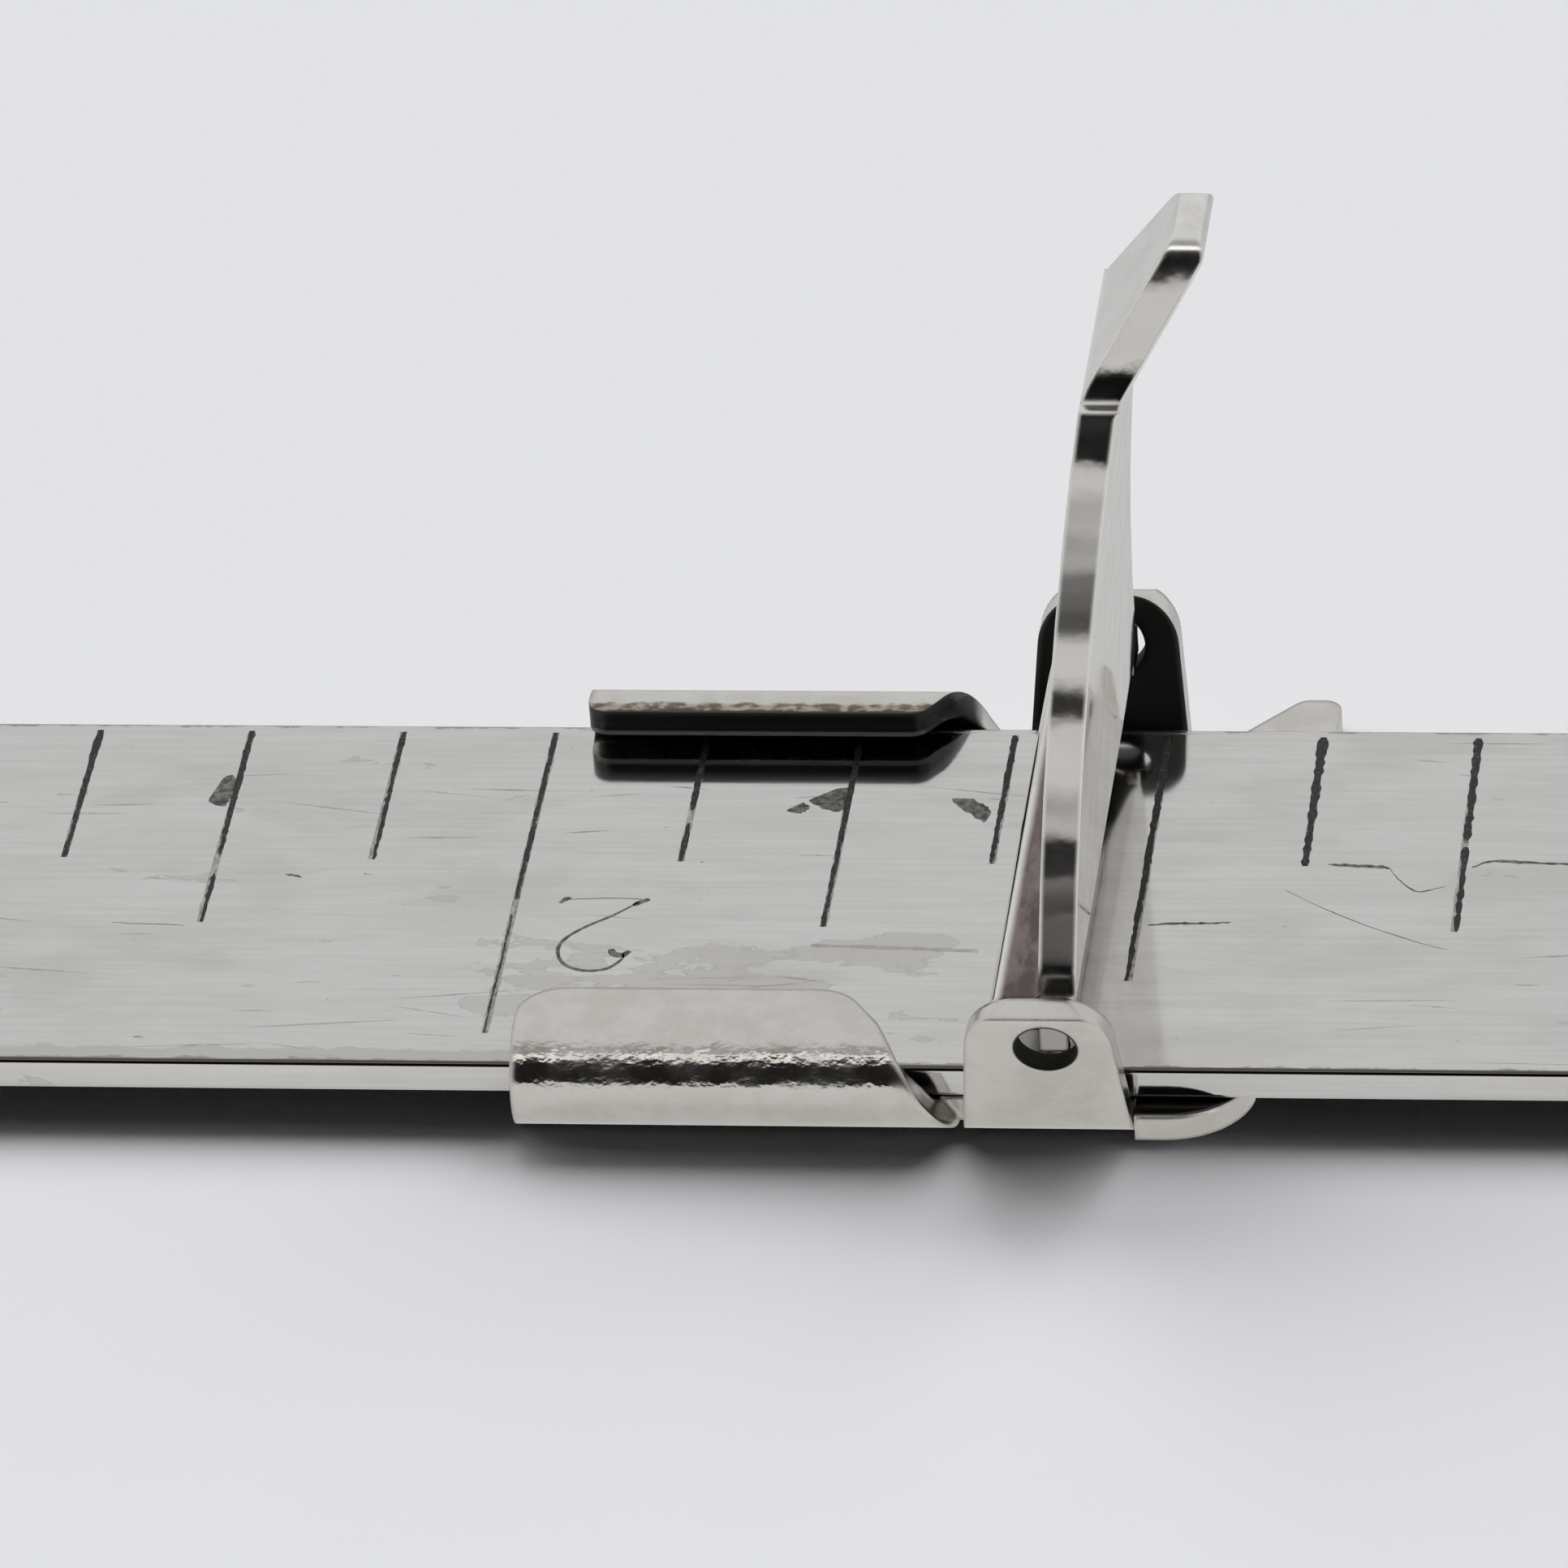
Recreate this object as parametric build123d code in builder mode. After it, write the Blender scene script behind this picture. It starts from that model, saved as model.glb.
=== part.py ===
from build123d import *
import os
from math import cos, radians, sin, tan

# Sewing gauge: a graduated steel rule, a folded sheet slider that runs along it, and a
# stamped flip lever whose heel locks the slider to the rule.
# X runs along the rule towards its zero end, Y across it towards the graduated edge, Z up.
# The origin is on the underside of the slider's base, straight below the lever's pivot.
# All lengths are in millimetres and all angles in degrees.

# Rule
rule_length = 152.4
rule_width = 12.7
rule_thickness = 0.70
rule_corner_radius = 1.0
rule_edge_radius = 0.12
zero_to_pivot = 39.25

# Graduations cut into the top of the rule
graduation_pitch = 3.175
graduation_width = 0.13
graduation_depth = 0.05
graduation_margin = 0.30
eighth_line_length = 4.9
quarter_line_length = 7.3
half_line_length = 9.2
inch_line_length = 11.3

# Slider sheet and the channel that it folds round the rule
sheet = 0.55
bend_radius = 0.40
curl_radius = 0.60
curl_sections = 7
rest_gap = 0.05
side_gap = 0.30
lip_gap = 0.30
near_lip_overlap = 1.50
far_lip_overlap = 0.85

# Slider lengths along the rule, taken from the lever's pivot
slider_tail = 10.80
flange_foot = 2.00
flange_slope = 0.65
lip_corner_share = 0.8
nose_reach = 3.75
nose_inset = 0.30
nose_corner_radius = 1.7

# Index tip that stands out past the graduated edge
index_reach = 4.50
index_overhang = 2.35
index_tip_width = 0.85
index_tip_radius = 0.38

# Ears that carry the lever
ear_foot_width = 3.40
ear_crown_width = 2.75
ear_offset = -0.15
ear_corner_radius = 1.05
ear_flare = 18.0
ear_crown = 0.85
pivot_height = 1.43
pivot_hole_radius = 0.61

# Lever
lever_sheet = 0.75
lever_width = 13.0
lever_skirt = 0.80
lever_skirt_radius = 0.6
lever_rise = 11.45
lever_lean = 1.0
lever_bow = 0.20
lever_shoulder_width = 5.6
lever_shoulder_radius = 0.3
lever_bend_radius = 0.55
heel_gap = 0.07
heel_drop = 0.10
tab_rise = 2.95
tab_lean = 33.0
tab_step = 0.35
tab_tip_width = 1.9
tab_tip_radius = 0.9
tab_bend_radius = 0.9

# Lugs of the lever, loose in the ears' holes
lug_size = 0.60
lug_offset_x = 0.14
lug_offset_z = 0.05
lug_engagement_share = 0.5

# One overrun for every cut and every intersecting outline
overrun = 5.0

# Heights
rule_bottom = sheet + rest_gap
rule_top = rule_bottom + rule_thickness
channel_top = rule_top + lip_gap + sheet
pivot_z = rule_top + pivot_height

# Half widths of the slider's section
rule_half_width = rule_width / 2
wall_inside = rule_half_width + side_gap
wall_outside = wall_inside + sheet
outer_bend = bend_radius + sheet
base_half_width = wall_outside - outer_bend
curl_outside = curl_radius + sheet
curl_middle_radius = curl_radius + sheet / 2
curl_y = wall_outside - curl_outside
curl_z = channel_top - curl_outside
nose_half_width = wall_outside - nose_inset
index_edge = rule_half_width + index_overhang

# Stations along X, with the pivot at zero
rule_middle_x = zero_to_pivot - rule_length / 2
tail_x = -slider_tail
flange_end_x = -flange_foot
curl_start_x = flange_end_x - curl_z * flange_slope
curl_end_x = curl_start_x - curl_middle_radius * radians(90) * flange_slope
ear_left_x = ear_offset - ear_foot_width / 2
ear_right_x = ear_offset + ear_foot_width / 2
crown_left_x = ear_offset - ear_crown_width / 2
crown_right_x = ear_offset + ear_crown_width / 2

# The ear leans outwards, so the lines of its section follow the flare
ear_run = tan(radians(ear_flare))
ear_sheet_across = sheet / cos(radians(ear_flare))
ear_top = pivot_z + ear_crown
ear_root = base_half_width + outer_bend * tan(radians((90 - ear_flare) / 2))
ear_inner_root = ear_root + sheet * ear_run - ear_sheet_across
ear_outer_top = ear_root + ear_top * ear_run
ear_inner_top = ear_outer_top - sheet * cos(radians(ear_flare))
ear_peak = ear_top + sheet * sin(radians(ear_flare))
ear_outer_at_pivot = ear_root + pivot_z * ear_run

# The lever turns about the middle of its lugs, which is the origin of its own planes
axis_x = lug_offset_x
axis_z = pivot_z + lug_offset_z
lever_side = Plane(origin=(axis_x, 0, axis_z), x_dir=(1, 0, 0), z_dir=(0, -1, 0))
lever_front = Plane(origin=(axis_x, 0, axis_z), x_dir=(0, 1, 0), z_dir=(1, 0, 0))
lever_half_sheet = lever_sheet / 2
lever_half_width = lever_width / 2
lug_end = ear_outer_at_pivot - ear_sheet_across * lug_engagement_share
heel_reach = pivot_height + lug_offset_z - heel_gap
nose_centre = (-(heel_reach - lever_half_sheet), -heel_drop)
heel_bend_start = (-lever_bend_radius, -heel_drop)
heel_bend_end = (0, lever_bend_radius - heel_drop)
bow_point = (lever_lean / 2 - lever_bow, lever_rise / 2)
kink = (lever_lean, lever_rise)
tab_end_rise = tab_rise - lever_half_sheet
tab_end = (lever_lean + tab_end_rise * tan(radians(tab_lean)), lever_rise + tab_end_rise)
lever_bottom = -(heel_drop + lever_half_sheet)
tab_top = lever_rise + tab_rise
tab_half_width = lever_shoulder_width / 2 - tab_step

os.makedirs("parts", exist_ok=True)


def line_length(eighths):
    """Length of the graduation that lies this many eighths of an inch from zero."""
    if eighths % 8 == 0:
        return inch_line_length
    if eighths % 4 == 0:
        return half_line_length
    if eighths % 2 == 0:
        return quarter_line_length
    return eighth_line_length


# Rule: a plain strip, with its graduations cut from the zero end at +X
with BuildPart() as rule:
    with BuildSketch(Plane.XY.offset(rule_bottom)):
        with Locations((rule_middle_x, 0)):
            RectangleRounded(rule_length, rule_width, rule_corner_radius)
    extrude(amount=rule_thickness)
    fillet(rule.faces().sort_by(Axis.Z)[-1].edges(), radius=rule_edge_radius)
    fillet(rule.faces().sort_by(Axis.Z)[0].edges(), radius=rule_edge_radius)
    line_start = rule_half_width - graduation_margin
    with BuildSketch(Plane.XY.offset(rule_top)):
        for eighths in range(1, round(rule_length / graduation_pitch)):
            length = line_length(eighths)
            with Locations((zero_to_pivot - eighths * graduation_pitch, line_start - length / 2)):
                Rectangle(graduation_width, length)
    extrude(amount=-graduation_depth, mode=Mode.SUBTRACT)

# Flange, without its lip: a wall folded up from the base, and the curl over the rule's edge.
# Its end runs off at one slope along the flat sheet, so each line across the curl is shorter.
with BuildPart() as flange:
    with BuildSketch(Plane.YZ.offset(tail_x)):
        with BuildLine():
            Polyline(
                (0, 0),
                (wall_outside, 0),
                (wall_outside, curl_z),
                (wall_inside, curl_z),
                (wall_inside, sheet),
                (0, sheet),
                close=True,
            )
        make_face()
        fillet(vertices().sort_by(Axis.Y)[0:2].sort_by(Axis.X)[-1], radius=outer_bend)
        inner_corner = vertices().filter_by_position(Axis.X, wall_inside, wall_inside).sort_by(Axis.Y)[0]
        fillet(inner_corner, radius=bend_radius)
    extrude(amount=flange_end_x - tail_x)
    with BuildSketch(Plane.XZ):
        with BuildLine():
            Polyline((tail_x, 0), (flange_end_x, 0), (curl_start_x, curl_z), (tail_x, curl_z), close=True)
        make_face()
    extrude(amount=-(wall_outside + overrun), mode=Mode.INTERSECT)
with BuildPart() as curl:
    for section in range(curl_sections):
        turn = radians(90) * section / (curl_sections - 1)
        end_x = curl_start_x - curl_middle_radius * turn * flange_slope
        across = (0, -sin(turn), cos(turn))
        with BuildSketch(Plane(origin=(0, curl_y, curl_z), x_dir=(1, 0, 0), z_dir=across)):
            with Locations((tail_x, curl_radius)):
                Rectangle(end_x - tail_x, sheet, align=(Align.MIN, Align.MIN))
    loft()


def lip(overlap):
    """The free part of a flange, flat above the rule, with rounded corners."""
    edge_y = rule_half_width - overlap
    reach = curl_y - edge_y
    with BuildPart() as piece:
        with BuildSketch(Plane.XY.offset(channel_top - sheet)):
            with BuildLine():
                Polyline(
                    (tail_x, curl_y),
                    (curl_end_x, curl_y),
                    (curl_end_x - reach * flange_slope, edge_y),
                    (tail_x, edge_y),
                    close=True,
                )
            make_face()
            fillet(vertices().filter_by_position(Axis.Y, edge_y, edge_y), radius=reach * lip_corner_share)
        extrude(amount=sheet)
    return piece.part


# Ear: the sheet bent up beside the rule and leaning outwards
with BuildPart() as ear:
    with BuildSketch(Plane.YZ.offset(ear_left_x)):
        with BuildLine():
            Polyline(
                (0, 0),
                (ear_root, 0),
                (ear_outer_top, ear_top),
                (ear_inner_top, ear_peak),
                (ear_inner_root, sheet),
                (0, sheet),
                close=True,
            )
        make_face()
        fillet(vertices().filter_by_position(Axis.X, ear_root, ear_root), radius=outer_bend)
        fillet(vertices().filter_by_position(Axis.X, ear_inner_root, ear_inner_root), radius=bend_radius)
    extrude(amount=ear_foot_width)
    # Seen from the side, the ear narrows to a rounded crown with the pivot hole below it
    with BuildSketch(Plane.XZ):
        with BuildLine():
            Polyline(
                (ear_left_x, 0),
                (ear_right_x, 0),
                (crown_right_x, ear_peak),
                (crown_left_x, ear_peak),
                close=True,
            )
        make_face()
        fillet(vertices().group_by(Axis.Y)[-1], radius=ear_corner_radius)
        with Locations((0, pivot_z)):
            Circle(pivot_hole_radius, mode=Mode.SUBTRACT)
    extrude(amount=-(ear_outer_top + overrun), mode=Mode.INTERSECT)

# Slider: one folded sheet, a base with two flanges, two ears, a nose and an index tip
with BuildPart() as slider:
    with BuildSketch(Plane.XY):
        with BuildLine():
            Polyline(
                (tail_x, base_half_width),
                (ear_right_x, base_half_width),
                (index_reach - index_tip_width, index_edge),
                (index_reach, index_edge),
                (nose_reach, -nose_half_width),
                (ear_right_x, -nose_half_width),
                (ear_right_x, -base_half_width),
                (tail_x, -base_half_width),
                close=True,
            )
        make_face()
        fillet(vertices().group_by(Axis.Y)[-1], radius=index_tip_radius)
        fillet(vertices().group_by(Axis.Y)[0].sort_by(Axis.X)[-1], radius=nose_corner_radius)
    extrude(amount=sheet)
    for piece in (flange.part, curl.part, ear.part):
        add(piece)
        add(piece.mirror(Plane.XZ))
    add(lip(far_lip_overlap))
    add(lip(near_lip_overlap).mirror(Plane.XZ))

# Lever: heel, tongue and thumb tab in one sheet, bent at the heel and again at the tab
with BuildPart() as lever:
    with BuildSketch(lever_side):
        with BuildLine():
            Line(nose_centre, heel_bend_start)
            RadiusArc(heel_bend_start, heel_bend_end, -lever_bend_radius)
            ThreePointArc(heel_bend_end, bow_point, kink)
            Line(kink, tab_end)
            fillet(vertices().filter_by_position(Axis.Y, lever_rise, lever_rise), radius=tab_bend_radius)
            offset(amount=lever_half_sheet)
        make_face()
    extrude(amount=lever_half_width, both=True)
    # Seen along the rule, the tongue tapers from the heel's width to the tab
    with BuildSketch(lever_front):
        with BuildLine():
            Polyline(
                (lever_half_width, lever_bottom),
                (lever_half_width, lever_skirt),
                (lever_shoulder_width / 2, lever_rise),
                (tab_half_width, lever_rise),
                (tab_tip_width / 2, tab_top),
                (0, tab_top),
                (0, lever_bottom),
                close=True,
            )
        make_face()
        mirror(about=Plane.YZ)
        fillet(vertices().filter_by_position(Axis.Y, lever_skirt, lever_skirt), radius=lever_skirt_radius)
        fillet(vertices().filter_by_position(Axis.Y, tab_top, tab_top), radius=tab_tip_radius)
    extrude(amount=lever_width, both=True, mode=Mode.INTERSECT)
    # A square lug at each side hangs in the ear's hole
    with BuildSketch(lever_side.offset(lever_half_width)):
        Rectangle(lug_size, lug_size)
    extrude(amount=lug_end - lever_half_width)
    with BuildSketch(lever_side.offset(-lever_half_width)):
        Rectangle(lug_size, lug_size)
    extrude(amount=-(lug_end - lever_half_width))

for name, piece in (("rule", rule), ("slider", slider), ("lever", lever)):
    piece.part.label = name
    export_step(piece.part, f"parts/{name}.step")
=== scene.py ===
import math
import random

import bpy
from mathutils import Matrix, Vector


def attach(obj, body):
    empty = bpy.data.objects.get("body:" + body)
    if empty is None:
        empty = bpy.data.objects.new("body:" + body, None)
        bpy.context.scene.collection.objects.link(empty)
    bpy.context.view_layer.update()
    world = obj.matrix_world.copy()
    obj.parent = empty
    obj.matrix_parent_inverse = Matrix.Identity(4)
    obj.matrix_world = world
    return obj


# A sewing gauge: the looks of its three CAD nodes, the marks on its rule, the floor, the light
# and the camera. Lengths are in millimetres, in the CAD's frame, and MM turns them into metres.
MM = 0.001

# The rule, as the CAD has it
RULE_TOP = 1.30
ZERO_X = 39.25
EIGHTH = 3.175
EIGHTHS = 48
LINE_START = 6.05
LINE_LENGTHS = {8: 11.3, 4: 9.2, 2: 7.3, 1: 4.9}

# The slider: the holes in its ears, and how far its edges are rounded
PIVOT_Z = 2.73
HOLE_RADIUS = 0.61
SLIDER_EDGE = 0.20
FAR_LIP_EDGE = 0.42
FAR_LIP_LOW_EDGE = 0.03

# How far the lever's edges are rounded
LEVER_EDGE = 0.16

# The camera, fitted to the graduations and long edges of the photograph
CAMERA_TARGET = (-6.599, 4.123, 1.30)
CAMERA_DISTANCE = 273.404
CAMERA_ELEVATION = 31.901
CAMERA_HEADING = -8.690
CAMERA_ROLL = -4.241
CAMERA_LENS = 306.97
SENSOR = 36.0
CLIP_NEAR, CLIP_FAR = 0.005, 20.0

rng = random.Random(11)

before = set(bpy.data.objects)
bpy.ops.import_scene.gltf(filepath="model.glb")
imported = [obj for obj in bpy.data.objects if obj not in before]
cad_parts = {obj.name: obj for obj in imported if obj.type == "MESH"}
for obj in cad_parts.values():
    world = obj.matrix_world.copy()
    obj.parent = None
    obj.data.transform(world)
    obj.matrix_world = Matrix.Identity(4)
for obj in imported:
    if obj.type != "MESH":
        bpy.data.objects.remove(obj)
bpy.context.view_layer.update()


class Nodes:
    """A short way to write a node tree."""

    def __init__(self, tree):
        self.tree = tree
        tree.nodes.clear()

    def add(self, kind, **values):
        """A node with its settings and inputs."""
        node = self.tree.nodes.new(kind)
        for key, value in values.items():
            if hasattr(node, key) and key not in node.inputs:
                setattr(node, key, value)
            else:
                self.put(node, key, value)
        return node

    def put(self, node, key, value):
        """Links a socket to an input, or writes a plain value there."""
        socket = node.inputs[key]
        if isinstance(value, bpy.types.NodeSocket):
            self.tree.links.new(value, socket)
        else:
            socket.default_value = value

    def math(self, operation, a, b=0.0, clamp=False):
        node = self.add("ShaderNodeMath", operation=operation, use_clamp=clamp)
        self.put(node, 0, a)
        self.put(node, 1, b)
        return node.outputs[0]

    def times(self, first, *others):
        for other in others:
            first = self.math("MULTIPLY", first, other)
        return first

    def plus(self, first, *others):
        for other in others:
            first = self.math("ADD", first, other)
        return first

    def size(self, value):
        return self.math("ABSOLUTE", value)

    def vector(self, operation, a, b=None):
        node = self.add("ShaderNodeVectorMath", operation=operation)
        self.put(node, 0, a)
        if b is not None:
            self.put(node, 1, b)
        return node

    def ramp(self, value, low, high, to_low=0.0, to_high=1.0):
        """A step from to_low at low to to_high at high."""
        node = self.add("ShaderNodeMapRange", interpolation_type="SMOOTHSTEP")
        for key, x in (("Value", value), ("From Min", low), ("From Max", high),
                       ("To Min", to_low), ("To Max", to_high)):
            self.put(node, key, x)
        return node.outputs["Result"]

    def window(self, value, low, low_full, high_full, high):
        """One between low_full and high_full, nothing below low and above high."""
        return self.times(self.ramp(value, low, low_full), self.ramp(value, high, high_full))

    def mix(self, share, a, b):
        node = self.add("ShaderNodeMix", data_type="RGBA")
        self.put(node, 0, share)
        for index, value in ((6, a), (7, b)):
            plain = not isinstance(value, bpy.types.NodeSocket)
            self.put(node, index, (*value, 1.0) if plain else value)
        return node.outputs[2]

    def mix_vectors(self, share, a, b):
        node = self.add("ShaderNodeMix", data_type="VECTOR")
        for index, value in ((0, share), (4, a), (5, b)):
            self.put(node, index, value)
        return node.outputs[1]

    def tint(self, colour, mask, amount, tone):
        """The colour, with a share of another tone under the mask."""
        return self.mix(self.times(mask, amount), colour, tone)

    def place(self, scale):
        """The surface's own coordinates in millimetres, times scale."""
        where = self.add("ShaderNodeTexCoord").outputs["Object"]
        return self.add("ShaderNodeMapping", Vector=where,
                        Scale=[s / MM for s in scale]).outputs["Vector"]

    def split(self, vector):
        node = self.add("ShaderNodeSeparateXYZ", Vector=vector)
        return [node.outputs[name] for name in "XYZ"]

    def axes(self):
        """The surface's own x, y and z in millimetres."""
        return self.split(self.place((1, 1, 1)))

    def facing(self):
        """The x, y and z of the surface's normal, in its own axes."""
        return self.split(self.add("ShaderNodeTexCoord").outputs["Normal"])

    def noise(self, scale, detail=3.0, roughness=0.55):
        """Noise from about 0.3 to 0.7, with scale in features per millimetre along each axis."""
        return self.add("ShaderNodeTexNoise", Vector=self.place(scale), Scale=1.0, Detail=detail,
                        Roughness=roughness).outputs["Fac"]


def new_material(name):
    material = bpy.data.materials.new(name)
    material.use_nodes = True
    nodes = Nodes(material.node_tree)
    shader = nodes.add("ShaderNodeBsdfPrincipled")
    nodes.add("ShaderNodeOutputMaterial", Surface=shader.outputs["BSDF"])
    return material, nodes, shader


def round_edges(nodes, radius, share=None):
    """The normal of edges rounded by radius, and a mask of where they turn.

    A share keeps part of the plain normal: at 0 the surface stays as it is.
    """
    rounded = nodes.add("ShaderNodeBevel", samples=8, Radius=radius).outputs[0]
    plain = nodes.add("ShaderNodeNewGeometry").outputs["Normal"]
    turn = nodes.vector("DOT_PRODUCT", rounded, plain).outputs["Value"]
    rim = nodes.ramp(turn, 0.995, 0.95)
    if share is not None:
        rounded = nodes.mix_vectors(share, plain, rounded)
    return rounded, rim


def tip(nodes, normal, near, down):
    """The normal tipped by those shares towards the object's near side and down."""
    own = nodes.add("ShaderNodeCombineXYZ", Y=nodes.times(near, -1.0), Z=nodes.times(down, -1.0))
    step = nodes.add("ShaderNodeVectorTransform", vector_type="VECTOR", convert_from="OBJECT",
                     convert_to="WORLD")
    nodes.put(step, 0, own.outputs[0])
    total = nodes.vector("ADD", normal, step.outputs[0])
    return nodes.vector("NORMALIZE", total.outputs[0]).outputs[0]


def bump(nodes, shader, height, strength, distance, normal=None):
    """Small relief from height on the surface, or on another normal."""
    node = nodes.add("ShaderNodeBump", Height=height, Strength=strength, Distance=distance * MM)
    if normal is not None:
        nodes.put(node, "Normal", normal)
    nodes.put(shader, "Normal", node.outputs["Normal"])


def rule_steel():
    """Streaked steel with stains by the second inch, specks, and painted dark reflection on the
    edges and chamfers.
    """
    material, nodes, shader = new_material("rule_steel_look")
    shader.inputs["Metallic"].default_value = 1.0
    x, y, _ = nodes.axes()
    _, normal_y, normal_z = nodes.facing()
    on_top = nodes.ramp(normal_z, 0.3, 0.6)

    streaks = nodes.noise((0.25, 7.0, 7.0), 4.0)
    clouds = nodes.noise((0.30, 1.3, 1.3), 5.0, 0.6)
    fine = nodes.noise((9.0, 22.0, 22.0), 2.0)
    tone = nodes.plus(nodes.times(streaks, 0.5), nodes.times(clouds, 0.5))
    colour = nodes.mix(nodes.ramp(tone, 0.36, 0.64), (0.585, 0.575, 0.56), (0.635, 0.63, 0.62))

    # Stains with dark rims, most of them between the slider's lips
    stain_and_heel_reflection = nodes.noise((0.42, 0.95, 0.95), 5.0, 0.58)
    here = nodes.times(nodes.window(x, -13.5, -11.5, -3.5, -1.0),
                       nodes.window(y, -6.0, -4.6, -1.9, -0.8))
    stain_and_heel_reflection = nodes.plus(stain_and_heel_reflection, nodes.ramp(here, 0.0, 1.0, -0.12, 0.045))
    rim = nodes.window(stain_and_heel_reflection, 0.562, 0.572, 0.580, 0.592)
    colour = nodes.tint(colour, nodes.ramp(stain_and_heel_reflection, 0.575, 0.59), 0.55, (0.50, 0.48, 0.455))
    colour = nodes.tint(colour, rim, 0.45, (0.38, 0.365, 0.35))

    specks = nodes.ramp(nodes.noise((1.6, 3.0, 3.0), 4.0, 0.7), 0.70, 0.75)
    colour = nodes.tint(colour, specks, 0.75, (0.16, 0.15, 0.14))
    blotches = nodes.ramp(nodes.noise((0.22, 0.5, 0.5), 4.0, 0.6), 0.50, 0.66)
    colour = nodes.tint(colour, blotches, 0.30, (0.47, 0.45, 0.43))

    # Painted dark reflection along both long edges, and a worn strip along the near one, left of
    # the slider
    ragged = nodes.times(nodes.noise((1.1, 1.1, 1.1), 4.0, 0.7), 0.6)
    out = nodes.math("SUBTRACT", nodes.plus(nodes.size(y), ragged), 0.3)
    # painted dark reflection: a ragged dark line on the top, just inside both long edges
    edge_dark_reflection = nodes.times(nodes.ramp(out, 6.20, 6.27), on_top)
    colour = nodes.tint(colour, edge_dark_reflection, 0.6, (0.15, 0.135, 0.125))
    near = nodes.math("SUBTRACT", ragged, y)
    worn = nodes.times(nodes.ramp(x, -9.0, -11.0), nodes.ramp(near, 6.12, 6.20), on_top)
    colour = nodes.tint(colour, worn, 0.35, (0.33, 0.315, 0.30))
    # Painted dark reflection on the chamfers where the long edges turn into the top
    chamfer_dark_reflection = nodes.times(nodes.ramp(nodes.size(normal_y), 0.15, 0.35),
                         nodes.ramp(normal_z, 0.15, 0.35))
    colour = nodes.mix(chamfer_dark_reflection, colour, (0.12, 0.105, 0.095))

    nodes.put(shader, "Base Color", colour)
    nodes.put(shader, "Roughness", nodes.ramp(clouds, 0.3, 0.7, 0.07, 0.11))
    height = nodes.plus(nodes.times(streaks, 0.6), nodes.times(fine, 0.4))
    bump(nodes, shader, height, 0.12, 0.002)
    return material


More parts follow.
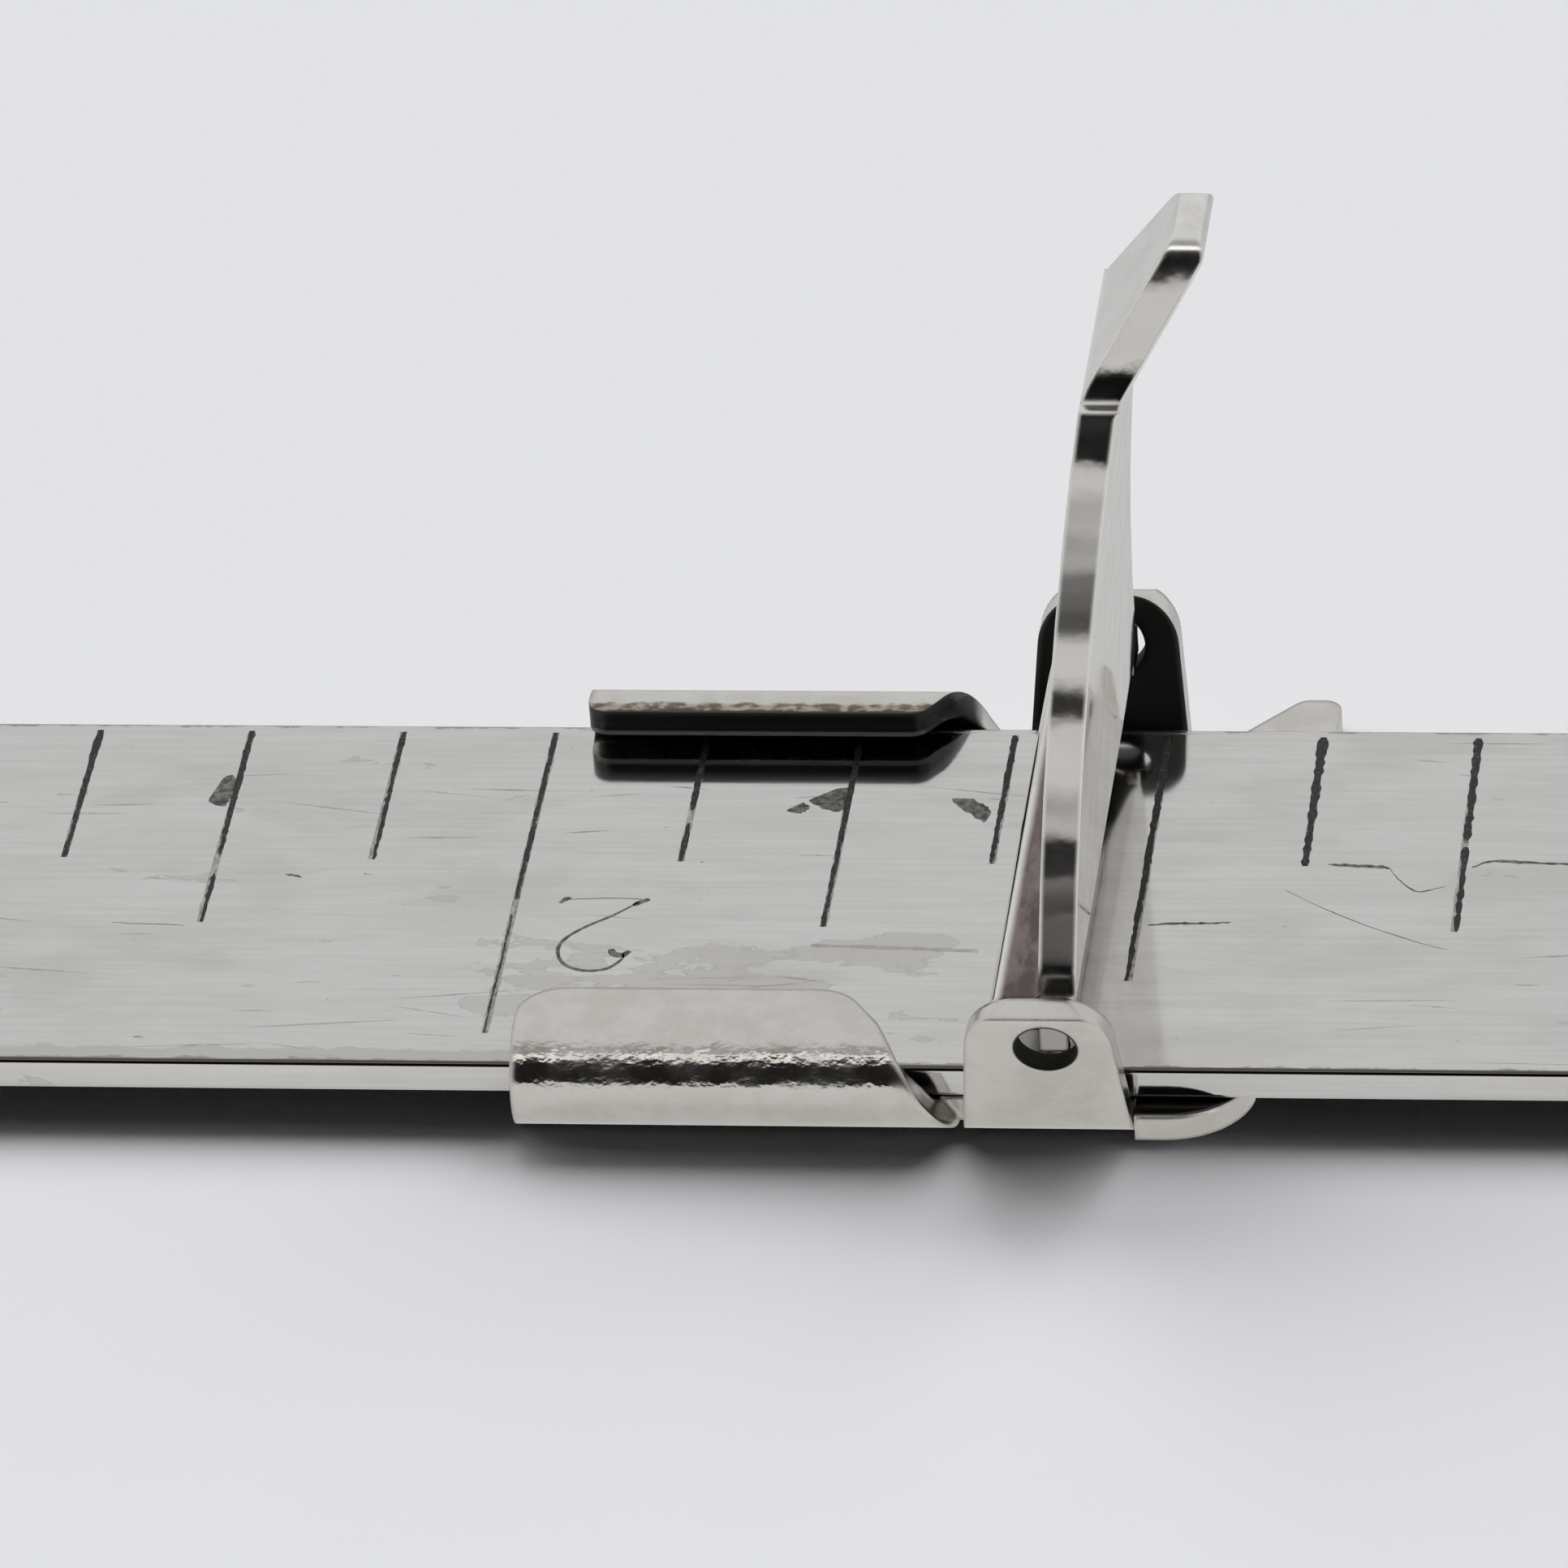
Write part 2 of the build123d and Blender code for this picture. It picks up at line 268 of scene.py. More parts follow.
def slider_plate():
    """Nickel on sheet: satin outside, orange peel on the curls, painted black shade inside the
    channel.
    """
    material, nodes, shader = new_material("slider_plate_look")
    x, y, z = nodes.axes()
    _, normal_y, normal_z = nodes.facing()
    away = nodes.size(y)
    clouds = nodes.noise((1.1, 1.1, 1.1), 4.0, 0.6)
    grain = nodes.noise((10.0, 10.0, 10.0), 3.0, 0.6)
    peel = nodes.noise((3.6, 5.0, 5.0), 2.0, 0.5)
    cloudy = nodes.ramp(clouds, 0.35, 0.65)

    # Where on the slider: what faces out or up, its curls, its holes, its base and its far lip
    outside = nodes.ramp(nodes.times(y, normal_y), -2.0, -0.5)
    curl = nodes.times(nodes.ramp(away, 6.2, 6.5), nodes.ramp(z, 1.05, 1.4),
                       nodes.ramp(x, -3.0, -3.4))
    up = nodes.math("SUBTRACT", z, PIVOT_Z)
    reach = nodes.math("SQRT", nodes.plus(nodes.times(x, x), nodes.times(up, up)))
    hole = nodes.times(nodes.ramp(reach, HOLE_RADIUS + 0.06, HOLE_RADIUS + 0.01),
                       nodes.ramp(away, 6.4, 6.6))
    base = nodes.times(nodes.ramp(z, 0.75, 0.65), nodes.ramp(normal_z, 0.6, 0.9),
                       nodes.ramp(away, 6.98, 6.80))
    far_lip = nodes.times(nodes.ramp(y, 4.5, 5.0), nodes.ramp(z, 1.50, 1.58),
                          nodes.ramp(x, -2.6, -2.8))

    colour = nodes.mix(cloudy, (0.57, 0.545, 0.51), (0.64, 0.62, 0.59))
    # Painted shade: faces turned into the channel are painted near black and not metallic
    colour = nodes.mix(outside, (0.012, 0.011, 0.010), colour)
    # Painted shade: the base's top inside the channel, under the rule, is painted near black
    colour = nodes.mix(base, colour, (0.07, 0.066, 0.062))

    # The far lip has a painted reflection band along its top edge, painted darker nearest the edge
    # as shade, and a painted highlight along its lower edge
    ragged = nodes.plus(y, nodes.times(peel, 0.25))
    lip_reflection_band = nodes.times(far_lip, nodes.ramp(normal_z, 0.6, 0.9), nodes.ramp(ragged, 6.06, 5.92))
    lip_reflection_tone = nodes.mix(nodes.ramp(peel, 0.42, 0.62), (0.15, 0.13, 0.10), (0.40, 0.365, 0.31))
    lip_reflection_tone = nodes.mix(nodes.ramp(ragged, 5.78, 5.70), lip_reflection_tone, (0.10, 0.09, 0.075))
    colour = nodes.mix(lip_reflection_band, colour, lip_reflection_tone)
    lip_low_highlight = nodes.times(far_lip, nodes.ramp(normal_y, -0.6, -0.8), nodes.ramp(z, 1.72, 1.68))
    colour = nodes.mix(lip_low_highlight, colour, (0.72, 0.71, 0.68))

    # Painted shade: the walls of the ear holes are painted near black
    nodes.put(shader, "Base Color", nodes.mix(hole, colour, (0.01, 0.009, 0.008)))
    shine = nodes.math("SUBTRACT", outside, hole, clamp=True)
    nodes.put(shader, "Metallic", nodes.math("SUBTRACT", shine, lip_low_highlight, clamp=True))
    rough = nodes.times(nodes.ramp(clouds, 0.35, 0.65, 0.15, 0.26), outside)
    rough = nodes.plus(nodes.ramp(outside, 0.0, 1.0, 0.30, 0.05), rough)
    rough = nodes.math("SUBTRACT", rough, nodes.times(curl, 0.09))
    nodes.put(shader, "Roughness", nodes.math("MAXIMUM", rough, nodes.times(hole, 0.85)))

    height = nodes.plus(nodes.times(grain, nodes.times(outside, 0.3)),
                        nodes.times(peel, nodes.times(curl, 4.0)))
    far_radius = nodes.ramp(z, 1.72, 1.85, FAR_LIP_LOW_EDGE * MM, FAR_LIP_EDGE * MM)
    radius = nodes.plus(nodes.times(far_lip, far_radius),
                        nodes.ramp(far_lip, 0.0, 1.0, SLIDER_EDGE * MM, 0.0))
    rounded, _ = round_edges(nodes, radius)
    bump(nodes, shader, height, 0.5, 0.012, rounded)
    return material


# Painted reflection bands, light and dark, along the lever's sheared edge, made by noise: where it
# starts, how many bands there are to a millimetre, their two tones, and the heights between which
# the foot is painted darker as shade
BAND_START = 40.0
BANDS_PER_MM = 0.62
DARK_REFLECTION_BAND = (0.13, 0.125, 0.12)
LIGHT_REFLECTION_BAND = (0.62, 0.60, 0.575)
FOOT_LOW, FOOT_HIGH = 4.5, 7.0


def lever_plate():
    """Nickel on sheet, with painted reflection bands on the sheared edge and a painted dark
    reflection on the heel.
    """
    material, nodes, shader = new_material("lever_plate_look")
    shader.inputs["Metallic"].default_value = 1.0
    x, y, z = nodes.axes()
    normal_x, normal_y, normal_z = nodes.facing()
    clouds = nodes.noise((1.1, 1.1, 1.1), 4.0, 0.6)
    grain = nodes.noise((10.0, 10.0, 10.0), 3.0, 0.6)
    ripple = nodes.noise((1.2, 1.2, 3.0), 3.0, 0.6)
    edgewise = nodes.ramp(nodes.size(normal_x), 0.9, 0.5)
    rounded, rim = round_edges(nodes, LEVER_EDGE * MM, edgewise)
    plain = nodes.mix(nodes.ramp(clouds, 0.35, 0.65), (0.68, 0.66, 0.63), (0.76, 0.745, 0.72))

    # The sheared edge, with painted reflection bands, painted darker towards the foot
    sheared = nodes.times(nodes.ramp(nodes.size(normal_y), 0.72, 0.86),
                          nodes.math("SUBTRACT", 1.0, rim))
    height = nodes.plus(z, nodes.times(nodes.math("SUBTRACT", ripple, 0.5), 0.5))
    wander = nodes.add("ShaderNodeTexNoise", noise_dimensions="1D", Scale=BANDS_PER_MM,
                       Detail=1.0, W=nodes.plus(height, BAND_START)).outputs["Fac"]
    light = nodes.times(nodes.ramp(wander, 0.36, 0.62),
                        nodes.ramp(z, FOOT_LOW, FOOT_HIGH, 0.15, 1.0))
    painted_reflection_bands = nodes.mix(light, DARK_REFLECTION_BAND, LIGHT_REFLECTION_BAND)

    # The heel, with a painted dark mottled reflection, darker towards the near side
    mottled = nodes.ramp(nodes.noise((2.4, 0.9, 2.4), 5.0, 0.65), 0.38, 0.62)
    # painted dark reflection on the heel
    stain_and_heel_reflection = nodes.mix(mottled, (0.10, 0.07, 0.075), (0.20, 0.165, 0.155))
    stain_and_heel_reflection = nodes.mix(0.45, stain_and_heel_reflection, nodes.mix(nodes.ramp(y, -5.5, 4.5), stain_and_heel_reflection, (0.23, 0.20, 0.185)))
    heel = nodes.times(nodes.ramp(z, 3.9, 3.4), nodes.ramp(x, -1.12, -0.92),
                       nodes.ramp(normal_z, -0.2, 0.1), nodes.ramp(x, 0.42, 0.30))

    # Lug ends: the near one lighter, the far one painted darker as shade
    lug = nodes.ramp(nodes.size(y), 6.55, 6.6)
    lug_lit_and_shaded_tone = nodes.mix(nodes.ramp(y, -1.0, 1.0), (0.36, 0.345, 0.33), (0.09, 0.085, 0.08))

    colour = nodes.mix(sheared, nodes.mix(heel, plain, stain_and_heel_reflection), painted_reflection_bands)
    nodes.put(shader, "Base Color", nodes.mix(lug, colour, lug_lit_and_shaded_tone))
    dull = nodes.times(nodes.math("MAXIMUM", sheared, heel), 0.16)
    nodes.put(shader, "Roughness", nodes.plus(nodes.ramp(clouds, 0.35, 0.65, 0.06, 0.14), dull))

    down = nodes.times(light, 0.36, sheared)
    near = nodes.ramp(normal_x, 0.6, 0.9, 0.0, 0.17)
    tipped = tip(nodes, rounded, near, down)
    bump(nodes, shader, nodes.times(grain, edgewise), 0.2, 0.003, tipped)
    return material


def speckled(name, grain, low, high, dark, light, roughness):
    """A material that goes from dark to light where the grain goes from low to high."""
    material, nodes, shader = new_material(name)
    colour = nodes.mix(nodes.ramp(nodes.noise(*grain), low, high), dark, light)
    nodes.put(shader, "Base Color", colour)
    shader.inputs["Roughness"].default_value = roughness
    return material, nodes, shader


def ink():
    material, _, shader = speckled("mark_black_look", ((14.0, 14.0, 14.0), 4.0, 0.7), 0.5, 0.75,
                                   (0.012, 0.011, 0.010), (0.10, 0.095, 0.09), 0.6)
    shader.inputs["Specular IOR Level"].default_value = 0.3
    return material


def nicked():
    material, _, shader = speckled("nick_look", ((6.0, 6.0, 6.0), 5.0, 0.7), 0.36, 0.68,
                                   (0.04, 0.037, 0.034), (0.20, 0.19, 0.18), 0.5)
    shader.inputs["Metallic"].default_value = 0.5
    return material


def tarnish():
    """A thin uneven film that lets the steel show through."""
    material, nodes, shader = speckled("tarnish_look", ((5.0, 9.0, 5.0), 4.0, 0.6), 0.4, 0.65,
                                       (0.44, 0.425, 0.405), (0.54, 0.525, 0.505), 0.2)
    shader.inputs["Metallic"].default_value = 1.0
    cover = nodes.noise((3.5, 7.0, 3.5), 4.0, 0.65)
    nodes.put(shader, "Alpha", nodes.ramp(cover, 0.30, 0.70, 0.15, 0.65))
    return material


for node, look in (("rule", rule_steel()), ("slider", slider_plate()), ("lever", lever_plate())):
    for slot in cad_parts[node].material_slots:
        slot.material = look


def add_piece(name, vertices, faces, material, body):
    mesh = bpy.data.meshes.new(name)
    mesh.from_pydata([[c * MM for c in v] for v in vertices], [], faces)
    mesh.validate()
    mesh.update()
    piece = bpy.data.objects.new(name, mesh)
    piece.data.materials.append(material)
    bpy.context.scene.collection.objects.link(piece)
    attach(piece, body)
    return piece


def ribbon(path, lift, depth, vertices, faces):
    """A closed flat strip along path, whose points are (x, y, half width)."""
    base = len(vertices)
    count = len(path)
    for level in (RULE_TOP + lift, RULE_TOP - depth):
        for side in (1, -1):
            for i, (x, y, half) in enumerate(path):
                ahead = path[min(i + 1, count - 1)]
                behind = path[max(i - 1, 0)]
                along = Vector((ahead[0] - behind[0], ahead[1] - behind[1])).normalized()
                vertices.append((x - along.y * half * side, y + along.x * half * side, level))
    top_left, top_right = base, base + count
    low_left, low_right = base + 2 * count, base + 3 * count
    for i in range(count - 1):
        faces.append((top_left + i, top_right + i, top_right + i + 1, top_left + i + 1))
        faces.append((low_left + i, low_left + i + 1, low_right + i + 1, low_right + i))
        faces.append((top_left + i, top_left + i + 1, low_left + i + 1, low_left + i))
        faces.append((top_right + i, low_right + i, low_right + i + 1, top_right + i + 1))
    last = count - 1
    faces.append((top_left, low_left, low_right, top_right))
    faces.append((top_left + last, top_right + last, low_right + last, low_left + last))


def patch(outline, lift, depth, vertices, faces):
    """A closed flat patch with that outline, going round anticlockwise."""
    base = len(vertices)
    count = len(outline)
    vertices.extend((x, y, RULE_TOP + lift) for x, y in outline)
    vertices.extend((x, y, RULE_TOP - depth) for x, y in outline)
    faces.append(tuple(range(base, base + count)))
    faces.append(tuple(range(base + 2 * count - 1, base + count - 1, -1)))
    for i in range(count):
        after = (i + 1) % count
        faces.append((base + i, base + count + i, base + count + after, base + after))


def line_place(eighths):
    """A graduation's x and its length."""
    step = next(step for step in LINE_LENGTHS if eighths % step == 0)
    return ZERO_X - eighths * EIGHTH, LINE_LENGTHS[step]


# The graduations that the photograph shows, as eighths from zero. Along the other lines, gaps
# in the black fill are drawn by chance.
SHOWN = range(9, 20)
GAP_CHANCE = 0.35
# Gaps where the black fill has worn out of a line: start and end in mm from the line's start
WORN = {10: [(3.85, 4.15)], 15: [(2.95, 3.45)], 16: [(6.35, 6.95)], 18: [(4.7, 5.5)]}
# How wide lines are, where they differ from the rest
LINE_WEIGHT = 1.15
LINE_WEIGHTS = {9: 1.5, 10: 1.5, 11: 1.65, 16: 0.85, 17: 1.0, 20: 1.3}
# Lines that are thinner from that far on
THIN_FROM = {16: 6.9}
THIN_SHARE = 0.45
# A line's half width at its start, how much it tapers, and its share at both ends
LINE_HALF = 0.062
LINE_TAPER = 0.022
LINE_END = 0.55
LINE_STEP = 0.16


def graduation_paths():
    paths = []
    for eighths in range(1, EIGHTHS):
        x, length = line_place(eighths)
        skew = rng.uniform(-0.010, 0.010)
        weight = rng.uniform(0.9, 1.1) * LINE_WEIGHTS.get(eighths, LINE_WEIGHT)
        stops = list(WORN.get(eighths, []))
        if eighths not in SHOWN and rng.random() < GAP_CHANCE:
            start = rng.uniform(0.4, 0.8) * length
            stops.append((start, start + rng.uniform(0.2, 0.5)))
        edges = [0.0] + [edge for stop in stops for edge in stop] + [length]
        for start, end in zip(edges[::2], edges[1::2]):
            count = max(4, int((end - start) / LINE_STEP))
            path = []
            for i in range(count + 1):
                t = start + (end - start) * i / count
                half = LINE_HALF - LINE_TAPER * t / length + rng.uniform(-0.018, 0.014)
                if t > THIN_FROM.get(eighths, length):
                    half *= THIN_SHARE
                if i in (0, count):
                    half *= LINE_END
                path.append((x + skew * t + rng.uniform(-0.012, 0.012), LINE_START - t,
                             half * weight))
            paths.append(path)
    return paths


# Numerals as single strokes, seen upright: u to the right, v up, in shares of their height
NUMERALS = {
    1: [[(0.10, 0.80), (0.24, 0.90), (0.34, 1.0)], [(0.34, 1.0), (0.33, 0.5), (0.32, 0.0)],
        [(0.16, 0.01), (0.32, 0.0), (0.48, 0.01)]],
    2: [[(0.69, 0.08), (0.64, 0.02), (0.61, 0.03)], [(0.61, 0.03), (0.30, 0.01), (0.04, 0.02)],
        [(-0.02, 0.02), (0.05, 0.06), (0.10, 0.11)], [(0.06, 0.06), (0.24, 0.24), (0.44, 0.40),
        (0.58, 0.56), (0.62, 0.72), (0.55, 0.90), (0.38, 0.99), (0.20, 0.96), (0.10, 0.84),
        (0.09, 0.76)], [(0.05, 0.72), (0.10, 0.78), (0.17, 0.76), (0.20, 0.70)]],
    3: [[(0.08, 0.84), (0.20, 0.97), (0.38, 1.0), (0.55, 0.90), (0.56, 0.72), (0.42, 0.58),
         (0.28, 0.54)], [(0.28, 0.54), (0.50, 0.50), (0.62, 0.34), (0.58, 0.12), (0.38, 0.0),
         (0.16, 0.02), (0.04, 0.14)]],
    4: [[(0.48, 0.0), (0.47, 0.5), (0.46, 1.0)], [(0.46, 1.0), (0.24, 0.62), (0.0, 0.30)],
        [(0.0, 0.30), (0.34, 0.29), (0.68, 0.30)]],
    5: [[(0.58, 0.98), (0.36, 0.97), (0.16, 0.98)], [(0.16, 0.98), (0.13, 0.76), (0.10, 0.54)],
        [(0.10, 0.54), (0.28, 0.62), (0.50, 0.56), (0.62, 0.36), (0.54, 0.12), (0.32, 0.0),
         (0.12, 0.04), (0.04, 0.14)]],
}
# Half widths of the strokes in mm, and those of each stroke where they differ
STROKE_WEIGHT = 0.040
STROKE_WEIGHTS = {2: [0.060, 0.012, 0.070, 0.042, 0.090]}
# Where a numeral stands beside its inch line, its size, and the share where its box ends
NUMERAL_HEIGHT = 2.75
NUMERAL_WIDTH = 2.55
NUMERAL_TOP_Y = -2.97
NUMERAL_OFFSET = 0.98
NUMERAL_RIGHT = 0.66


def smooth_path(points, steps=5):
    """Catmull-Rom through the points, with steps to each of them."""
    ends = [points[0]] + list(points) + [points[-1]]
    out = []
    for i in range(len(points) - 1):
        a, b, c, d = (Vector(p) for p in ends[i:i + 4])
        for k in range(steps):
            t = k / steps
            out.append(0.5 * ((2 * b) + (c - a) * t + (2 * a - 5 * b + 4 * c - d) * t * t
                              + (3 * b - a - 3 * c + d) * t ** 3))
    out.append(Vector(points[-1]))
    return out


def swell(i, count, end_share):
    """A stroke's width along its points: end_share at both ends and one in the middle."""
    return end_share + (1 - end_share) * math.sin(i / (count - 1) * math.pi)


def numeral_paths():
    """Each numeral stands to the right of its inch line and is read from the far side."""
    paths = []
    for value, strokes in NUMERALS.items():
        left = line_place(8 * value)[0] + NUMERAL_OFFSET
        weights = STROKE_WEIGHTS.get(value, [STROKE_WEIGHT] * len(strokes))
        for stroke, weight in zip(strokes, weights):
            points = smooth_path(stroke)
            paths.append([(left + (NUMERAL_RIGHT - p.x) * NUMERAL_WIDTH,
                           NUMERAL_TOP_Y + (1.0 - p.y) * NUMERAL_HEIGHT,
                           weight * swell(i, len(points), 0.6) * rng.uniform(0.8, 1.15))
                          for i, p in enumerate(points)])
    return paths


# Scratches and nicks that the photograph shows, as (x, y) runs with a half width
SCRATCHES = [
    ([(4.80, 1.22), (5.30, 1.17), (5.84, 1.14), (6.04, 1.08)], 0.060),
    ([(6.04, 1.08), (6.28, 0.63), (6.64, 0.24), (6.96, 0.31), (7.20, 0.43)], 0.018),
    ([(7.70, 1.15), (8.11, 1.38), (8.77, 1.34), (9.62, 1.30), (10.8, 1.36)], 0.045),
    ([(1.35, -1.10), (1.92, -1.02), (2.41, -1.02), (2.99, -0.97)], 0.045),
    ([(-16.41, 0.56), (-16.22, 0.52), (-16.06, 0.45)], 0.035),
    ([(-19.7, -1.3), (-18.9, -1.35), (-18.2, -1.38)], 0.014),
    ([(4.0, 0.25), (5.2, -0.7), (6.6, -1.55), (7.4, -1.9)], 0.010),
]
NICKS = [
    [(-18.42, 3.40), (-18.10, 3.10), (-17.98, 3.40), (-17.95, 4.02), (-18.09, 4.33),
     (-18.25, 4.15)],
    [(-6.42, 3.13), (-6.22, 3.00), (-6.02, 3.12), (-5.98, 3.32), (-6.20, 3.38)],
    [(-6.00, 3.50), (-5.62, 3.16), (-5.24, 3.18), (-5.16, 3.95), (-5.59, 3.92)],
    [(-3.07, 3.60), (-2.95, 3.36), (-2.67, 3.05), (-2.34, 2.72), (-2.22, 3.12), (-2.45, 3.40),
     (-2.73, 3.62)],
]


def ragged_outline(outline):
    """The outline rounded and made uneven."""
    closed = smooth_path(outline[-1:] + outline + outline[:1], 5)[5:-6]
    return [(p.x + rng.uniform(-0.03, 0.03), p.y + rng.uniform(-0.03, 0.03)) for p in closed]


def scratch_paths():
    paths = []
    for run, half in SCRATCHES:
        points = smooth_path(run, 6)
        path = []
        for i, p in enumerate(points):
            width = half * swell(i, len(points), 0.35) * rng.uniform(0.6, 1.25)
            path.append((p.x + rng.uniform(-0.01, 0.01), p.y + rng.uniform(-0.012, 0.012), width))
        paths.append(path)
    return paths


# A dull trail between the slider's lips, as an (x, y) run with a half width
TRAIL, TRAIL_HALF = [(-5.36, -1.95), (-3.71, -2.01), (-1.98, -2.11)], 0.06
# How far apart the points of the seam beside a graduation are
SEAM_STEP = 0.2
# Short scuffs, all over this part of the rule
SCUFFS = 220
SCUFFS_X, SCUFFS_Y = (-110, 36), (-6.0, 6.0)


def tarnish_paths():
    """The trail, a thin dull seam beside each graduation, and short scuffs everywhere."""
    paths = [[(p.x, p.y, TRAIL_HALF * rng.uniform(0.6, 1.3)) for p in smooth_path(TRAIL, 8)]]
    for eighths in range(1, EIGHTHS):
        x, length = line_place(eighths)
        count = int(length / SEAM_STEP)
        paths.append([(x + rng.uniform(-0.03, 0.03), LINE_START - length * i / count,
                       rng.uniform(0.05, 0.08)) for i in range(count + 1)])
    for _ in range(SCUFFS):
        x, y = rng.uniform(*SCUFFS_X), rng.uniform(*SCUFFS_Y)
        run, turn = rng.uniform(0.4, 3.0), rng.gauss(0.0, 0.12)
        half = rng.uniform(0.010, 0.030)
        paths.append([(x + run * t, y + turn * run * t, half * (1.1 - abs(2 * t - 1)))
                      for t in (0.0, 0.25, 0.5, 0.75, 1.0)])
    return paths


def mark_piece(name, material, lift, depth, paths=(), patches=()):
    """Marks from depth under the rule's top to lift above it."""
    vertices, faces = [], []
    for path in paths:
        ribbon(path, lift, depth, vertices, faces)
    for outline in patches:
        patch(outline, lift, depth, vertices, faces)
    return add_piece(name, vertices, faces, material, "rule")


nick_look = nicked()
mark_piece("graduation_fill", ink(), lift=0.003, depth=0.045, paths=graduation_paths())
mark_piece("numerals", nick_look, lift=0.003, depth=0.02, paths=numeral_paths())
mark_piece("scratches", nick_look, lift=0.002, depth=0.02, paths=scratch_paths())
mark_piece("nicks", nick_look, lift=0.0015, depth=0.02,
           patches=[ragged_outline(outline) for outline in NICKS])
mark_piece("tarnish", tarnish(), lift=0.001, depth=0.02, paths=tarnish_paths())


FLOOR_HALF = 3000
FLOOR_COLOUR = (0.785, 0.79, 0.81, 1.0)
# What metal sees of the floor, and how much of that is plain light rather than the lit floor
FLOOR_BEHIND, FLOOR_BEFORE = (0.60, 0.605, 0.61), (0.92, 0.92, 0.91)
FLOOR_BEHIND_Y, FLOOR_BEFORE_Y = 10, -4
FLOOR_PLAIN_SHARE = 0.75


def floor():
    """A plain pale floor, which metal sees evenly lit, darker behind the gauge."""
    half = FLOOR_HALF * MM
    mesh = bpy.data.meshes.new("floor")
    mesh.from_pydata([(-half, -half, 0), (half, -half, 0), (half, half, 0), (-half, half, 0)], [],
                     [(0, 1, 2, 3)])
    plane = bpy.data.objects.new("floor", mesh)
    bpy.context.scene.collection.objects.link(plane)
    material, nodes, shader = new_material("floor_look")
    shader.inputs["Base Color"].default_value = FLOOR_COLOUR
    shader.inputs["Roughness"].default_value = 1.0
    shader.inputs["Specular IOR Level"].default_value = 0.0
    y = nodes.split(nodes.add("ShaderNodeNewGeometry").outputs["Position"])[1]
    before = nodes.ramp(y, FLOOR_BEHIND_Y * MM, FLOOR_BEFORE_Y * MM)
    plain = nodes.add("ShaderNodeEmission", Color=nodes.mix(before, FLOOR_BEHIND, FLOOR_BEFORE))
    path = nodes.add("ShaderNodeLightPath")
    direct = nodes.math("LESS_THAN", path.outputs["Diffuse Depth"], 0.5)
    both = nodes.add("ShaderNodeMixShader")
    nodes.put(both, 0, nodes.times(path.outputs["Is Glossy Ray"], FLOOR_PLAIN_SHARE, direct))
    nodes.put(both, 1, shader.outputs["BSDF"])
    nodes.put(both, 2, plain.outputs[0])
    out = next(n for n in nodes.tree.nodes if n.type == "OUTPUT_MATERIAL")
    nodes.put(out, "Surface", both.outputs[0])
    plane.data.materials.append(material)


# The surroundings, as the metal shows them
PALE_BACK, DIM_TOP = (0.80, 0.805, 0.81), (0.38, 0.38, 0.38)
LAMP_BAND, DIM_FRONT = (1.5, 1.5, 1.48), (0.45, 0.45, 0.45)
DARK_FRONT = (0.015, 0.015, 0.015)
# What a surface lit by them sees, and what the camera sees
DIM_ROOM, PLAIN_BACKDROP = (0.02, 0.02, 0.02), (0.745, 0.76, 0.78)


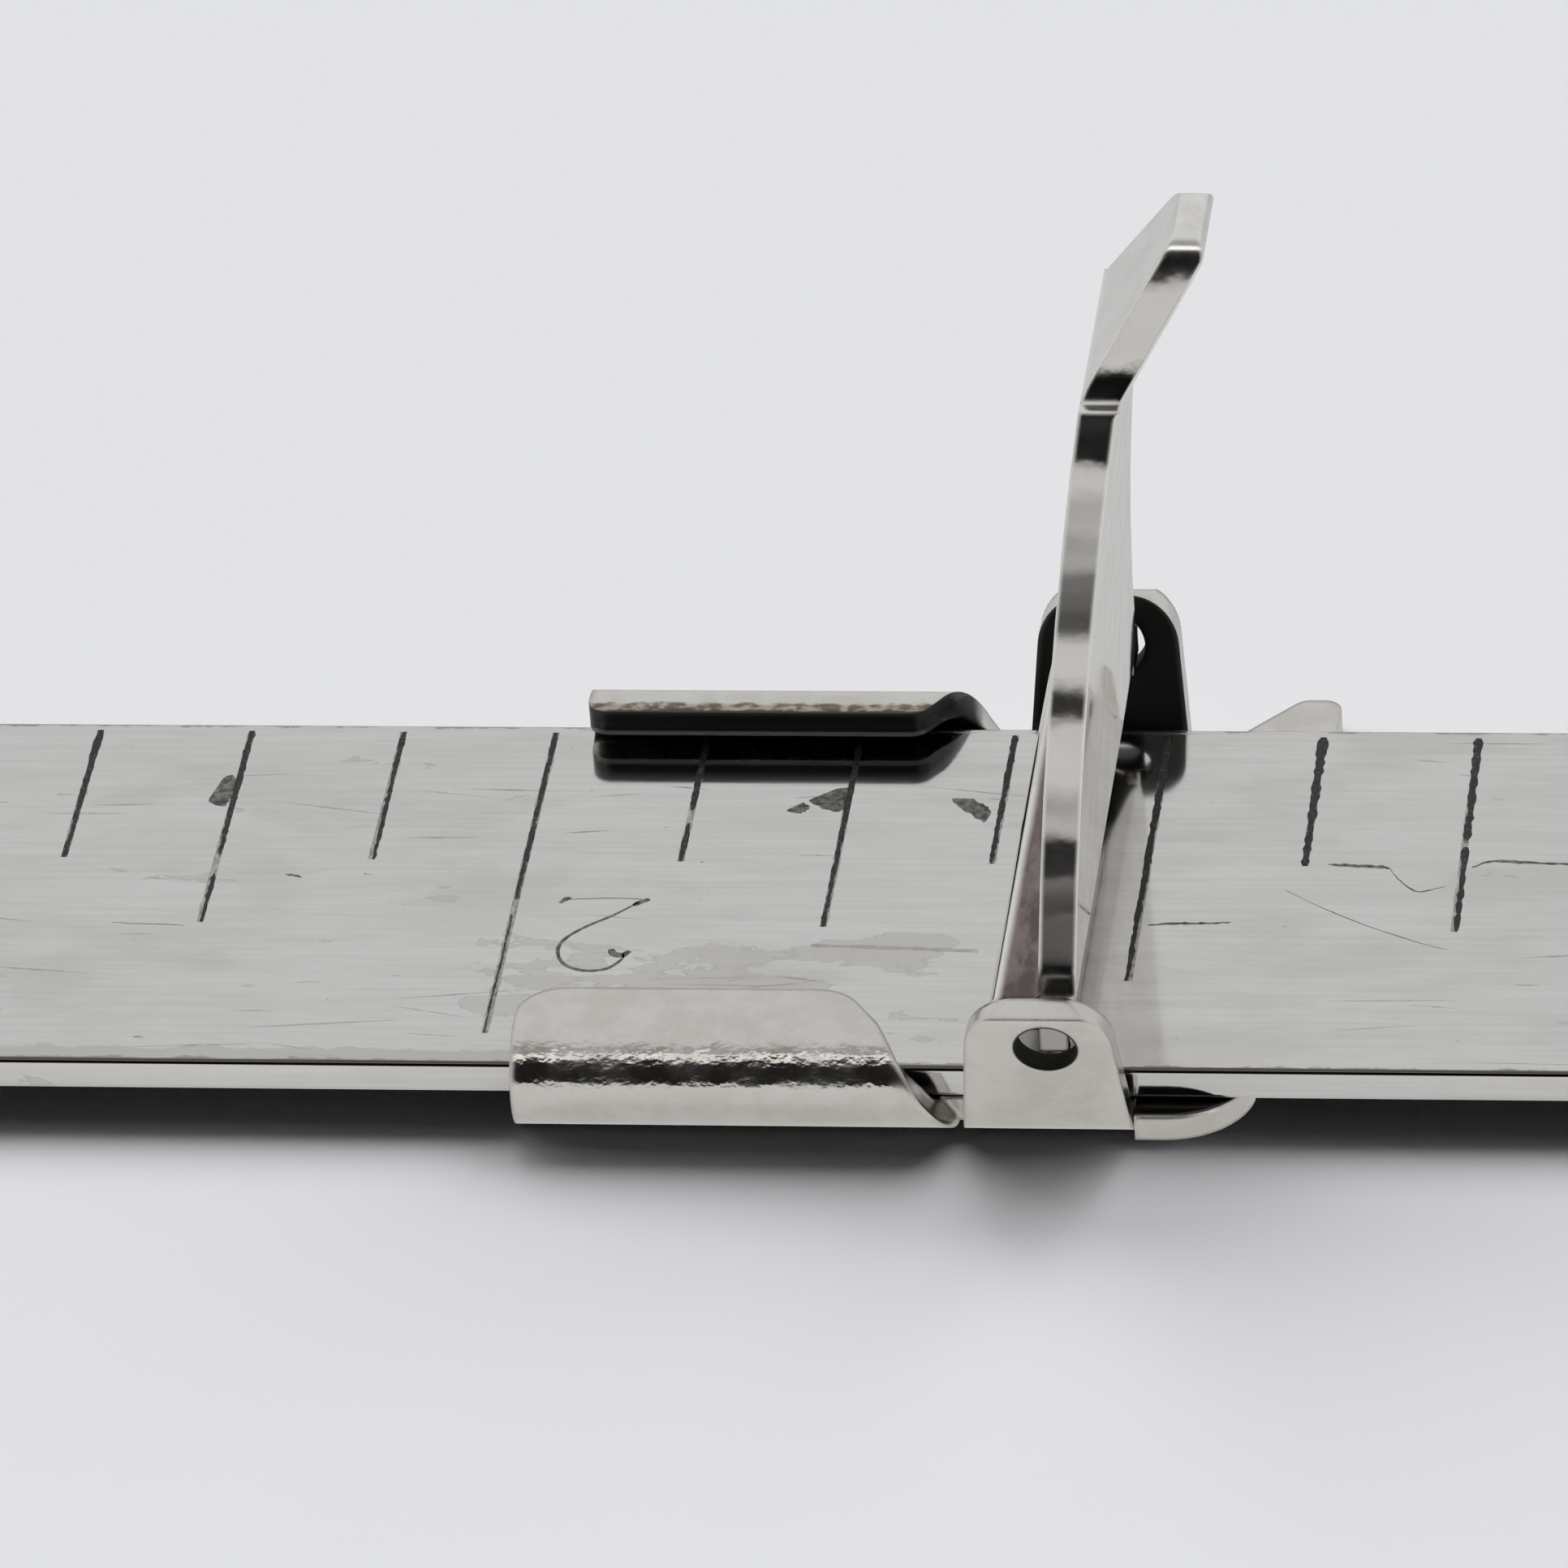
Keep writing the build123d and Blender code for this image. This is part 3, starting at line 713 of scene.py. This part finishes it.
def surroundings():
    """A pale back, a lamp band and a dim front for the metal; the camera sees plain pale."""
    world = bpy.data.worlds.new("studio")
    bpy.context.scene.world = world
    world.use_nodes = True
    nodes = Nodes(world.node_tree)
    aside, front, _ = nodes.split(nodes.add("ShaderNodeTexCoord").outputs["Generated"])
    colour = nodes.mix(nodes.ramp(front, -0.35, -0.05), DIM_TOP, PALE_BACK)
    colour = nodes.mix(nodes.ramp(front, -0.42, -0.50), colour, LAMP_BAND)
    colour = nodes.mix(nodes.ramp(front, -0.57, -0.61), colour, DIM_FRONT)
    dark = nodes.times(nodes.ramp(front, -0.60, -0.66), nodes.ramp(nodes.size(aside), 0.55, 0.35))
    colour = nodes.mix(dark, colour, DARK_FRONT)
    path = nodes.add("ShaderNodeLightPath")
    spread = nodes.math("GREATER_THAN", path.outputs["Diffuse Depth"], 0.5)
    colour = nodes.mix(spread, colour, DIM_ROOM)
    colour = nodes.mix(path.outputs["Is Camera Ray"], colour, PLAIN_BACKDROP)
    background = nodes.add("ShaderNodeBackground", Color=colour, Strength=1.0)
    nodes.add("ShaderNodeOutputWorld", Surface=background.outputs[0])


# Soft lamps behind the gauge: azimuth, from the back towards the left as the camera sees it,
# elevation and strength. Low and wide together, they give the photograph's band of shadow.
LAMPS = {"key_back": (0, 42, 1.15), "key_left": (32, 38, 1.20), "key_right": (-32, 38, 1.20),
         "side_left": (66, 24, 0.86), "side_right": (-66, 24, 0.86)}
LAMP_WIDTH = 36


def sun(name, azimuth, elevation, strength):
    a, e = math.radians(azimuth), math.radians(elevation)
    towards = Vector((-math.sin(a) * math.cos(e), math.cos(a) * math.cos(e), math.sin(e)))
    data = bpy.data.lights.new(name, "SUN")
    data.energy = strength
    data.angle = math.radians(LAMP_WIDTH)
    lamp = bpy.data.objects.new(name, data)
    lamp.rotation_mode = "QUATERNION"
    lamp.rotation_quaternion = towards.to_track_quat("Z", "Y")
    lamp.visible_glossy = False
    bpy.context.scene.collection.objects.link(lamp)


def camera():
    e, heading, roll = (math.radians(x) for x in (CAMERA_ELEVATION, CAMERA_HEADING, CAMERA_ROLL))
    forward = Vector((math.sin(heading) * math.cos(e), math.cos(heading) * math.cos(e),
                      -math.sin(e)))
    level = Vector((math.cos(heading), -math.sin(heading), 0))
    above = level.cross(forward)
    right = math.cos(roll) * level + math.sin(roll) * above
    up = math.cos(roll) * above - math.sin(roll) * level
    data = bpy.data.cameras.new("camera")
    data.lens = CAMERA_LENS
    data.sensor_width = SENSOR
    data.clip_start = CLIP_NEAR
    data.clip_end = CLIP_FAR
    shot = bpy.data.objects.new("camera", data)
    turn = Matrix((right, up, -forward)).transposed().to_4x4()
    place = (Vector(CAMERA_TARGET) - forward * CAMERA_DISTANCE) * MM
    shot.matrix_world = Matrix.Translation(place) @ turn
    bpy.context.scene.collection.objects.link(shot)
    bpy.context.scene.camera = shot


floor()
surroundings()
for name, (azimuth, elevation, strength) in LAMPS.items():
    sun(name, azimuth, elevation, strength)
camera()
bpy.context.scene.view_settings.view_transform = "Standard"
